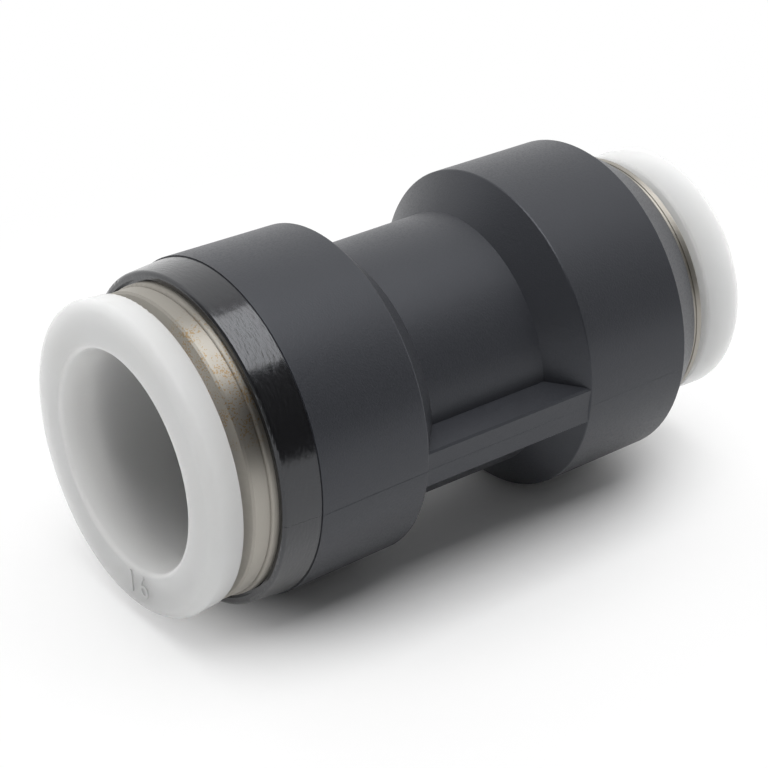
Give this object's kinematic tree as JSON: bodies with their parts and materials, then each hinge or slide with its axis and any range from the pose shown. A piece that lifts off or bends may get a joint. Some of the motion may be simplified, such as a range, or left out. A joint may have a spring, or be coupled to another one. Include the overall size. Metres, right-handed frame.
{
  "type": "push-in tube coupling",
  "caption": "Straight push-in coupling that joins a larger and a smaller plastic tube, with press-to-release collets, metal guide rings, toothed lock claws and lip seals.",
  "frame": {"origin": "centre of the smaller collet's end face, on which the coupling stands", "axes": "+Z along the coupling's axis towards the larger tube's end; the side ribs point along +X and -X"},
  "size_m": [0.025, 0.025, 0.0492],
  "materials": {
    "body_plastic": "fine-grained dark slate grey moulded plastic, polished on the larger end's band",
    "collet_acetal": "milky white acetal, satin",
    "ring_nickel": "bright nickel plate on turned brass",
    "claw_steel": "stamped stainless sheet",
    "back_ring_acetal": "natural acetal",
    "seal_rubber": "black nitrile rubber"
  },
  "bodies": {
    "housing": {"body": "body_plastic", "large_guide_ring": "ring_nickel", "large_lock_claw": "claw_steel", "large_back_ring": "back_ring_acetal", "large_tube_seal": "seal_rubber", "small_guide_ring": "ring_nickel", "small_lock_claw": "claw_steel", "small_back_ring": "back_ring_acetal", "small_tube_seal": "seal_rubber"},
    "large_collet": {"large_release_collet": "collet_acetal"},
    "small_collet": {"small_release_collet": "collet_acetal"}
  },
  "joints": [
    {"name": "large_collet_press", "type": "slide", "parent": "housing", "child": "large_collet", "axis": [0, 0, -1], "range_m": [0, 0.0008], "stiffness_N_per_m": 8000, "springref_m": -0.0005},
    {"name": "small_collet_press", "type": "slide", "parent": "housing", "child": "small_collet", "axis": [0, 0, 1], "range_m": [0, 0.0008], "stiffness_N_per_m": 8000, "springref_m": -0.0005}
  ]
}
